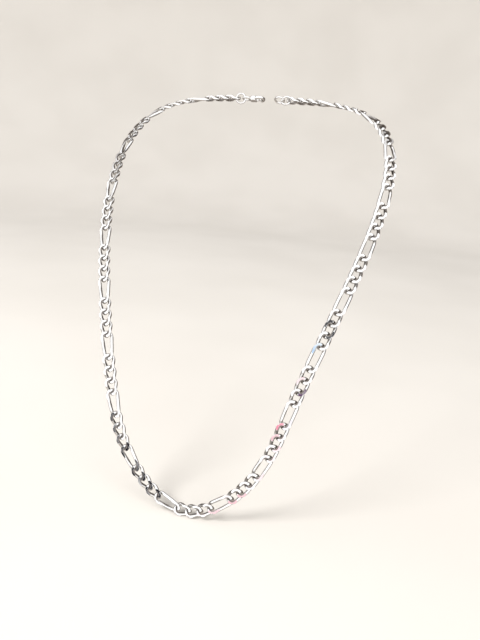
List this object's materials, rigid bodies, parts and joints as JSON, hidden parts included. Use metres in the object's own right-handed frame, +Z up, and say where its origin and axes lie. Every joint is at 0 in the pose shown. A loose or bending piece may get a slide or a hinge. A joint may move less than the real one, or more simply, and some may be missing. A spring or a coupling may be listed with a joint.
{
  "type": "chain necklace",
  "caption": "Silver Figaro chain necklace of flat-cut twisted links, long links between groups of short ones, with a lobster clasp, in its worn shape.",
  "frame": {"origin": "middle of the lowest link at the front, where a pendant hangs", "axes": "+Z up as worn, -Y out of the wearer's chest, +X to the viewer's right"},
  "size_m": [0.1494, 0.1176, 0.2055],
  "materials": {
    "chain_silver": "sterling silver, diamond-cut flats and tumbled polish",
    "clasp_silver": "cast sterling silver, tumbled polish",
    "spring_steel": "drawn spring wire"
  },
  "bodies": {
    "short_trio_01": {"short_trio_01": "chain_silver"},
    "long_link_01": {"long_link_01": "chain_silver"},
    "short_trio_02": {"short_trio_02": "chain_silver"},
    "long_link_02": {"long_link_02": "chain_silver"},
    "short_trio_03": {"short_trio_03": "chain_silver"},
    "long_link_03": {"long_link_03": "chain_silver"},
    "short_trio_04": {"short_trio_04": "chain_silver"},
    "long_link_04": {"long_link_04": "chain_silver"},
    "short_trio_05": {"short_trio_05": "chain_silver"},
    "long_link_05": {"long_link_05": "chain_silver"},
    "short_trio_06": {"short_trio_06": "chain_silver"},
    "long_link_06": {"long_link_06": "chain_silver"},
    "short_trio_07": {"short_trio_07": "chain_silver"},
    "long_link_07": {"long_link_07": "chain_silver"},
    "short_trio_08": {"short_trio_08": "chain_silver"},
    "long_link_08": {"long_link_08": "chain_silver"},
    "short_trio_09": {"short_trio_09": "chain_silver"},
    "long_link_09": {"long_link_09": "chain_silver"},
    "short_trio_10": {"short_trio_10": "chain_silver"},
    "long_link_10": {"long_link_10": "chain_silver"},
    "short_trio_11": {"short_trio_11": "chain_silver"},
    "long_link_11": {"long_link_11": "chain_silver"},
    "short_trio_12": {"short_trio_12": "chain_silver"},
    "long_link_12": {"long_link_12": "chain_silver"},
    "short_trio_13": {"short_trio_13": "chain_silver"},
    "long_link_13": {"long_link_13": "chain_silver"},
    "short_trio_14": {"short_trio_14": "chain_silver"},
    "long_link_14": {"long_link_14": "chain_silver"},
    "short_trio_15": {"short_trio_15": "chain_silver"},
    "long_link_15": {"long_link_15": "chain_silver"},
    "short_trio_16": {"short_trio_16": "chain_silver"},
    "long_link_16": {"long_link_16": "chain_silver"},
    "short_trio_17": {"short_trio_17": "chain_silver"},
    "long_link_17": {"long_link_17": "chain_silver"},
    "short_trio_18": {"short_trio_18": "chain_silver"},
    "long_link_18": {"long_link_18": "chain_silver"},
    "short_trio_19": {"short_trio_19": "chain_silver"},
    "long_link_19": {"long_link_19": "chain_silver"},
    "short_trio_20": {"short_trio_20": "chain_silver"},
    "long_link_20": {"long_link_20": "chain_silver"},
    "short_trio_21": {"short_trio_21": "chain_silver"},
    "clasp_jump_ring": {"clasp_jump_ring": "clasp_silver"},
    "clasp": {"clasp_body": "clasp_silver", "clasp_pin": "clasp_silver", "clasp_spring": "spring_steel"},
    "clasp_lever": {"clasp_lever": "clasp_silver"},
    "end_jump_ring": {"end_jump_ring": "clasp_silver"},
    "end_ring": {"end_ring": "clasp_silver"}
  },
  "joints": [
    {"name": "clasp_lever_press", "type": "hinge", "parent": "clasp", "child": "clasp_lever", "pos_m": [-0.01106, 0.11324, 0.19934], "axis": [0.0431, -0.2614, -0.9643], "range_deg": [0, 25]},
    {"name": "clasp_jump_ring_fold", "type": "hinge", "parent": "short_trio_01", "child": "clasp_jump_ring", "pos_m": [-0.0209, 0.11074, 0.19941], "axis": [0.1742, -0.963, 0.2058], "range_deg": [-18, 20]},
    {"name": "clasp_swivel", "type": "hinge", "parent": "clasp_jump_ring", "child": "clasp", "pos_m": [-0.01706, 0.11139, 0.19957], "axis": [-0.0768, 0.2126, 0.9741], "range_deg": [-25, 25]},
    {"name": "end_jump_ring_fold", "type": "hinge", "parent": "short_trio_21", "child": "end_jump_ring", "pos_m": [0.00955, 0.11229, 0.19975], "axis": [-0.0821, -0.9601, 0.2672], "range_deg": [-20, 20]},
    {"name": "end_ring_sway", "type": "hinge", "parent": "end_jump_ring", "child": "end_ring", "pos_m": [0.00566, 0.11256, 0.19979], "axis": [0.0206, 0.2796, 0.9599], "range_deg": [-30, 30]},
    {"name": "long_link_10_fold", "type": "hinge", "parent": "short_trio_11", "child": "long_link_10", "pos_m": [-0.00287, 0.00004, 0.00019], "axis": [0.1708, 0.1478, 0.9742], "range_deg": [0, 14]},
    {"name": "short_trio_10_sway", "type": "hinge", "parent": "long_link_10", "child": "short_trio_10", "pos_m": [-0.01346, 0.00078, 0.00391], "axis": [-0.0129, -0.9866, 0.1626], "range_deg": [0, 12]},
    {"name": "long_link_09_fold", "type": "hinge", "parent": "short_trio_10", "child": "long_link_09", "pos_m": [-0.02655, 0.00273, 0.01486], "axis": [-0.7719, -0.1187, -0.6246], "range_deg": [-24, 24]},
    {"name": "short_trio_09_sway", "type": "hinge", "parent": "long_link_09", "child": "short_trio_09", "pos_m": [-0.03308, 0.00406, 0.02392], "axis": [-0.0314, 0.9873, -0.1557], "range_deg": [-12, 0]},
    {"name": "long_link_08_fold", "type": "hinge", "parent": "short_trio_09", "child": "long_link_08", "pos_m": [-0.03995, 0.00615, 0.03957], "axis": [-0.9512, -0.0849, -0.2968], "range_deg": [-24, 24]},
    {"name": "short_trio_08_sway", "type": "hinge", "parent": "long_link_08", "child": "short_trio_08", "pos_m": [-0.04308, 0.00797, 0.05022], "axis": [-0.0282, 0.9801, -0.1965], "range_deg": [-12, 0]},
    {"name": "long_link_07_fold", "type": "hinge", "parent": "short_trio_08", "child": "long_link_07", "pos_m": [-0.04758, 0.01205, 0.06636], "axis": [0.9616, 0.0684, 0.266], "range_deg": [-24, 24]},
    {"name": "short_trio_07_sway", "type": "hinge", "parent": "long_link_07", "child": "short_trio_07", "pos_m": [-0.05072, 0.01556, 0.07658], "axis": [-0.0402, -0.9418, 0.3339], "range_deg": [0, 12]},
    {"name": "long_link_06_fold", "type": "hinge", "parent": "short_trio_07", "child": "long_link_06", "pos_m": [-0.05562, 0.02197, 0.09182], "axis": [0.9539, 0.0191, 0.2995], "range_deg": [-24, 24]},
    {"name": "short_trio_06_sway", "type": "hinge", "parent": "long_link_06", "child": "short_trio_06", "pos_m": [-0.05875, 0.0267, 0.10154], "axis": [-0.1337, -0.9011, 0.4124], "range_deg": [0, 12]},
    {"name": "long_link_05_fold", "type": "hinge", "parent": "short_trio_06", "child": "long_link_05", "pos_m": [-0.06326, 0.03469, 0.11614], "axis": [-0.9488, 0.058, -0.3104], "range_deg": [-24, 24]},
    {"name": "short_trio_05_sway", "type": "hinge", "parent": "long_link_05", "child": "short_trio_05", "pos_m": [-0.0659, 0.04033, 0.12551], "axis": [0.229, 0.854, -0.4672], "range_deg": [-12, 0]},
    {"name": "long_link_04_fold", "type": "hinge", "parent": "short_trio_05", "child": "long_link_04", "pos_m": [-0.06924, 0.04963, 0.13964], "axis": [-0.9429, 0.1599, -0.2922], "range_deg": [-24, 24]},
    {"name": "short_trio_04_sway", "type": "hinge", "parent": "long_link_04", "child": "short_trio_04", "pos_m": [-0.07077, 0.05612, 0.14871], "axis": [0.3219, 0.7843, -0.5303], "range_deg": [-12, 12]},
    {"name": "long_link_03_fold", "type": "hinge", "parent": "short_trio_04", "child": "long_link_03", "pos_m": [-0.07164, 0.0667, 0.16229], "axis": [0.9232, -0.3135, 0.2223], "range_deg": [-24, 24]},
    {"name": "short_trio_03_sway", "type": "hinge", "parent": "long_link_03", "child": "short_trio_03", "pos_m": [-0.07082, 0.07399, 0.17082], "axis": [-0.4022, -0.6519, 0.6429], "range_deg": [-12, 12]},
    {"name": "long_link_02_fold", "type": "hinge", "parent": "short_trio_03", "child": "long_link_02", "pos_m": [-0.06632, 0.08548, 0.1828], "axis": [0.8054, -0.5893, 0.0638], "range_deg": [-22, 24]},
    {"name": "short_trio_02_sway", "type": "hinge", "parent": "long_link_02", "child": "short_trio_02", "pos_m": [-0.06058, 0.0927, 0.18923], "axis": [-0.3633, -0.367, 0.8563], "range_deg": [-12, 12]},
    {"name": "long_link_01_fold", "type": "hinge", "parent": "short_trio_02", "child": "long_link_01", "pos_m": [-0.04759, 0.10188, 0.19565], "axis": [-0.4472, 0.8944, -0.0071], "range_deg": [-24, 24]},
    {"name": "short_trio_01_sway", "type": "hinge", "parent": "long_link_01", "child": "short_trio_01", "pos_m": [-0.03747, 0.10627, 0.19784], "axis": [0.1695, -0.0018, -0.9855], "range_deg": [-12, 12]},
    {"name": "long_link_11_fold", "type": "hinge", "parent": "short_trio_11", "child": "long_link_11", "pos_m": [0.01363, 0.0008, 0.004], "axis": [-0.521, 0.1359, 0.8426], "range_deg": [-24, 24]},
    {"name": "short_trio_12_sway", "type": "hinge", "parent": "long_link_11", "child": "short_trio_12", "pos_m": [0.02258, 0.00203, 0.01072], "axis": [0.0007, -0.9852, 0.1712], "range_deg": [-12, 0]},
    {"name": "long_link_12_fold", "type": "hinge", "parent": "short_trio_12", "child": "long_link_12", "pos_m": [0.03318, 0.00408, 0.0241], "axis": [0.8733, -0.105, -0.4757], "range_deg": [-24, 24]},
    {"name": "short_trio_13_sway", "type": "hinge", "parent": "long_link_12", "child": "short_trio_13", "pos_m": [0.03801, 0.0054, 0.03417], "axis": [0.0399, 0.9878, -0.1505], "range_deg": [0, 12]},
    {"name": "long_link_13_fold", "type": "hinge", "parent": "short_trio_13", "child": "long_link_13", "pos_m": [0.04313, 0.00801, 0.05043], "axis": [0.9651, -0.0773, -0.25], "range_deg": [-24, 24]},
    {"name": "short_trio_14_sway", "type": "hinge", "parent": "long_link_13", "child": "short_trio_14", "pos_m": [0.04602, 0.01048, 0.06101], "axis": [0.0072, 0.9667, -0.2559], "range_deg": [0, 12]},
    {"name": "long_link_14_fold", "type": "hinge", "parent": "short_trio_14", "child": "long_link_14", "pos_m": [0.05078, 0.01564, 0.07677], "axis": [-0.9578, 0.0533, 0.2825], "range_deg": [-24, 24]},
    {"name": "short_trio_15_sway", "type": "hinge", "parent": "long_link_14", "child": "short_trio_15", "pos_m": [0.05398, 0.0197, 0.08676], "axis": [0.0769, -0.9255, 0.3709], "range_deg": [-12, 0]},
    {"name": "long_link_15_fold", "type": "hinge", "parent": "short_trio_15", "child": "long_link_15", "pos_m": [0.05881, 0.0268, 0.10172], "axis": [-0.9518, -0.0093, 0.3067], "range_deg": [-24, 24]},
    {"name": "short_trio_16_sway", "type": "hinge", "parent": "long_link_15", "child": "short_trio_16", "pos_m": [0.0618, 0.03191, 0.11128], "axis": [0.1722, -0.8836, 0.4353], "range_deg": [-12, 0]},
    {"name": "long_link_16_fold", "type": "hinge", "parent": "short_trio_16", "child": "long_link_16", "pos_m": [0.06595, 0.04044, 0.12569], "axis": [0.9468, 0.0953, -0.3074], "range_deg": [-24, 24]},
    {"name": "short_trio_17_sway", "type": "hinge", "parent": "long_link_16", "child": "short_trio_17", "pos_m": [0.06823, 0.04643, 0.13493], "axis": [-0.2667, 0.83, -0.4898], "range_deg": [-3, 12]},
    {"name": "long_link_17_fold", "type": "hinge", "parent": "short_trio_17", "child": "long_link_17", "pos_m": [0.07079, 0.05625, 0.14888], "axis": [0.9384, 0.2125, -0.2724], "range_deg": [-24, 24]},
    {"name": "short_trio_18_sway", "type": "hinge", "parent": "long_link_17", "child": "short_trio_18", "pos_m": [0.07159, 0.06307, 0.15779], "axis": [-0.3576, 0.7427, -0.5662], "range_deg": [-12, 12]},
    {"name": "long_link_18_fold", "type": "hinge", "parent": "short_trio_18", "child": "long_link_18", "pos_m": [0.07079, 0.07413, 0.17097], "axis": [-0.8983, -0.4053, 0.1697], "range_deg": [-24, 24]},
    {"name": "short_trio_19_sway", "type": "hinge", "parent": "long_link_18", "child": "short_trio_19", "pos_m": [0.06836, 0.08163, 0.17899], "axis": [0.4143, -0.5601, 0.7174], "range_deg": [-12, 12]},
    {"name": "long_link_19_fold", "type": "hinge", "parent": "short_trio_19", "child": "long_link_19", "pos_m": [0.06046, 0.09283, 0.18933], "axis": [-0.6812, -0.7321, -0.0012], "range_deg": [-24, 14]},
    {"name": "short_trio_20_sway", "type": "hinge", "parent": "long_link_19", "child": "short_trio_20", "pos_m": [0.05239, 0.09914, 0.19398], "axis": [0.278, -0.2148, 0.9362], "range_deg": [-12, 12]},
    {"name": "long_link_20_fold", "type": "hinge", "parent": "short_trio_20", "child": "long_link_20", "pos_m": [0.03727, 0.10635, 0.19787], "axis": [0.3147, 0.9453, -0.0863], "range_deg": [-22, 24]},
    {"name": "short_trio_21_sway", "type": "hinge", "parent": "long_link_20", "child": "short_trio_21", "pos_m": [0.02655, 0.10953, 0.19906], "axis": [-0.1166, -0.1296, -0.9847], "range_deg": [-12, 12]}
  ]
}
